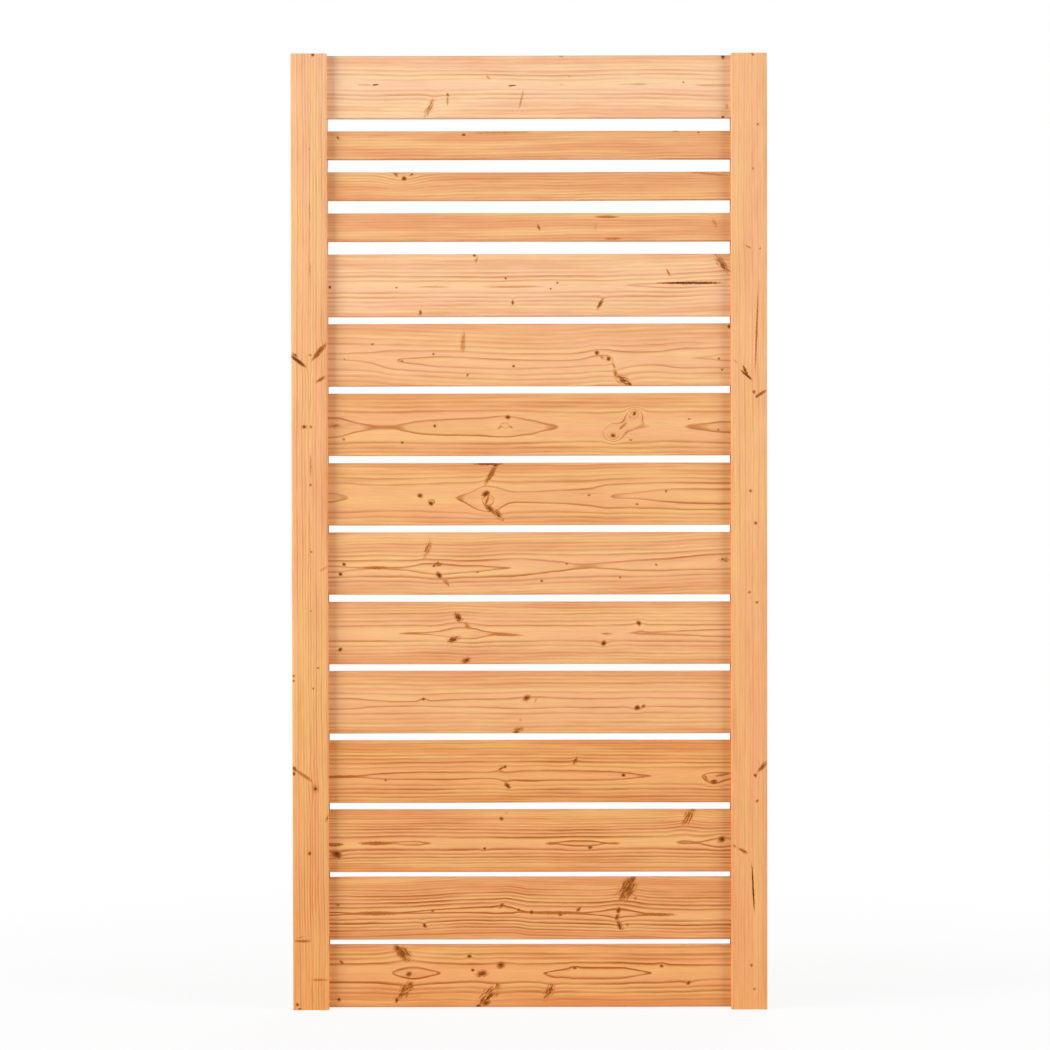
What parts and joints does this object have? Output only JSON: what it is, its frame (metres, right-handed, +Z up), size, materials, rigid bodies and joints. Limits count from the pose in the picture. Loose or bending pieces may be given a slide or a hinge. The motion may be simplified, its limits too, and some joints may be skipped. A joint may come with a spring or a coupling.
{
  "type": "privacy fence panel",
  "caption": "Tall privacy fence panel of planed softwood: horizontal boards, with narrow slats near the top, housed in two grooved upright stiles and screwed from the back.",
  "frame": {"origin": "middle of the panel's foot: halfway between the stiles, halfway from front to back, on the level of the stile feet", "axes": "+X along the boards to the right as seen from the front, +Y from the front to the back, +Z up"},
  "size_m": [0.895, 0.045, 1.8],
  "materials": {
    "stile_softwood": "planed, untreated, edges rounded",
    "board_softwood": "planed, untreated, edges rounded",
    "stainless_screws": "bright stainless steel"
  },
  "bodies": {
    "root": {"left_stile": "stile_softwood", "right_stile": "stile_softwood", "top_board": "board_softwood", "slat_1": "board_softwood", "slat_2": "board_softwood", "slat_3": "board_softwood", "board_1": "board_softwood", "board_2": "board_softwood", "board_3": "board_softwood", "board_4": "board_softwood", "board_5": "board_softwood", "board_6": "board_softwood", "board_7": "board_softwood", "board_8": "board_softwood", "board_9": "board_softwood", "board_10": "board_softwood", "board_11": "board_softwood", "board_screws": "stainless_screws"}
  },
  "joints": []
}
